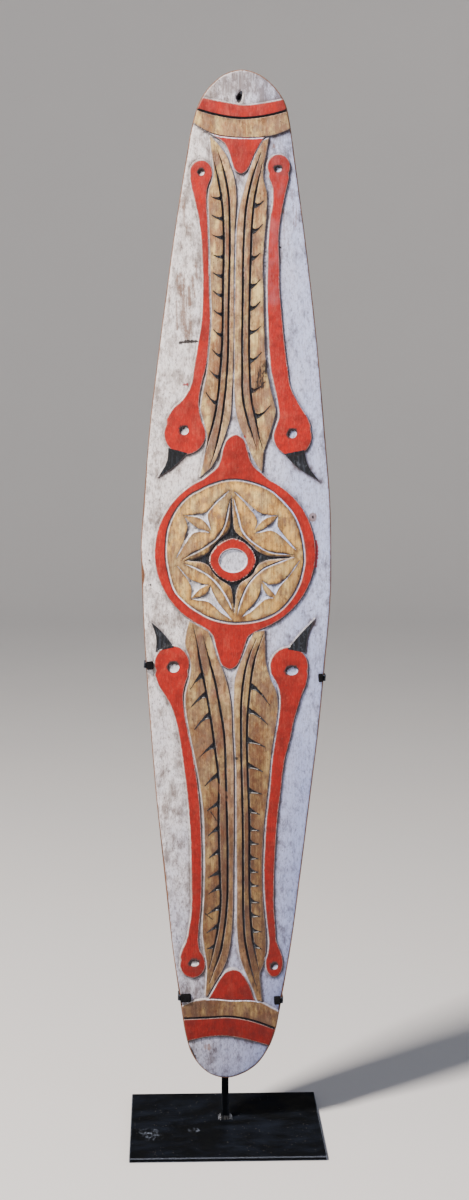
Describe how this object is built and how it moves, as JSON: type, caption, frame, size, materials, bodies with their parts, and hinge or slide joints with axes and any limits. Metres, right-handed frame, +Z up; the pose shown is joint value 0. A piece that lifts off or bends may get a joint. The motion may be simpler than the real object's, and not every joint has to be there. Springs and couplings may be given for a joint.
{
  "type": "ceremonial shield on a display stand",
  "caption": "Tall narrow wooden shield with painted relief of a star rosette, feathers and bird heads, resting in the hooks of a black steel display stand.",
  "frame": {"origin": "centre of the base plate's underside", "axes": "+Z up, the carved face looks along -Y, +X to the right of someone who faces it"},
  "size_m": [0.2818, 0.25, 1.4724],
  "materials": {
    "painted_wood": "worn matt earth paints in white, red, ochre and black over carved wood",
    "plate_steel": "satin black paint on flat steel, lightly scuffed",
    "post_steel": "satin black paint on square steel bar",
    "weld": "thinly painted weld bead with bright spots",
    "upper_arm_steel": "satin black paint on flat steel strip",
    "lower_arm_steel": "satin black paint on flat steel strip",
    "sleeve_rubber": "matt black rubber"
  },
  "bodies": {
    "root": {"shield_board": "painted_wood", "stand_base_plate": "plate_steel", "stand_post": "post_steel", "weld_bead": "weld", "stand_upper_arm": "upper_arm_steel", "stand_lower_arm": "lower_arm_steel", "sleeve_upper_left": "sleeve_rubber", "sleeve_upper_right": "sleeve_rubber", "sleeve_lower_left": "sleeve_rubber", "sleeve_lower_right": "sleeve_rubber"}
  },
  "joints": []
}
